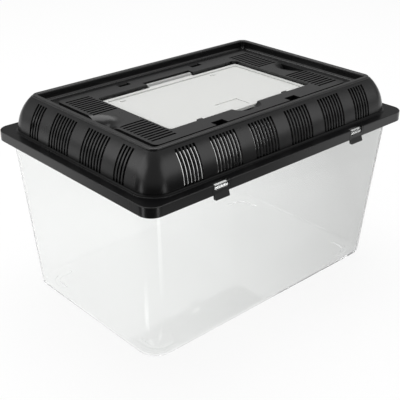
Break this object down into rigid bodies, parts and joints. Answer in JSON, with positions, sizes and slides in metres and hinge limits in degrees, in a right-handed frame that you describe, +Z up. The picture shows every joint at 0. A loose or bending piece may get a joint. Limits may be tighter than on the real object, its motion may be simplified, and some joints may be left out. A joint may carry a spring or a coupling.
{
  "type": "plastic pet keeper",
  "caption": "Clear tapered plastic tub with a vented black dome lid held by side latches, and a translucent hinged feeding hatch.",
  "frame": {"origin": "middle of the footprint, on the plane that the tub's feet stand on", "axes": "+X along the long side, -Y towards the side that faces the user, with the hatch's hinge at the +Y side, +Z up"},
  "size_m": [0.4, 0.284, 0.2422],
  "materials": {
    "clear_tub": "clear, polished moulding, faint grey tint",
    "clear_hatch": "translucent, slightly milky, satin moulding",
    "black_lid": "black with a fine satin texture"
  },
  "bodies": {
    "tub": {"tub": "clear_tub"},
    "lid": {"lid": "black_lid"},
    "hatch": {"hatch": "clear_hatch"},
    "front_left_latch": {"front_left_latch": "black_lid"},
    "front_right_latch": {"front_right_latch": "black_lid"},
    "rear_left_latch": {"rear_left_latch": "black_lid"},
    "rear_right_latch": {"rear_right_latch": "black_lid"}
  },
  "joints": [
    {"name": "lid_lift", "type": "slide", "parent": "tub", "child": "lid", "axis": [0, 0, 1], "range_m": [0, 0.08]},
    {"name": "hatch_hinge", "type": "hinge", "parent": "lid", "child": "hatch", "pos_m": [0, 0.067, 0.23032], "axis": [-1, 0, 0], "range_deg": [0, 130]},
    {"name": "front_left_latch_flex", "type": "hinge", "parent": "lid", "child": "front_left_latch", "pos_m": [-0.107, -0.1389, 0.1989], "axis": [-1, 0, 0], "range_deg": [0, 8], "stiffness_Nm_per_rad": 0.2},
    {"name": "front_right_latch_flex", "type": "hinge", "parent": "lid", "child": "front_right_latch", "pos_m": [0.107, -0.1389, 0.1989], "axis": [-1, 0, 0], "range_deg": [0, 8], "stiffness_Nm_per_rad": 0.2},
    {"name": "rear_left_latch_flex", "type": "hinge", "parent": "lid", "child": "rear_left_latch", "pos_m": [-0.107, 0.1389, 0.1989], "axis": [1, 0, 0], "range_deg": [0, 8], "stiffness_Nm_per_rad": 0.2},
    {"name": "rear_right_latch_flex", "type": "hinge", "parent": "lid", "child": "rear_right_latch", "pos_m": [0.107, 0.1389, 0.1989], "axis": [1, 0, 0], "range_deg": [0, 8], "stiffness_Nm_per_rad": 0.2}
  ]
}
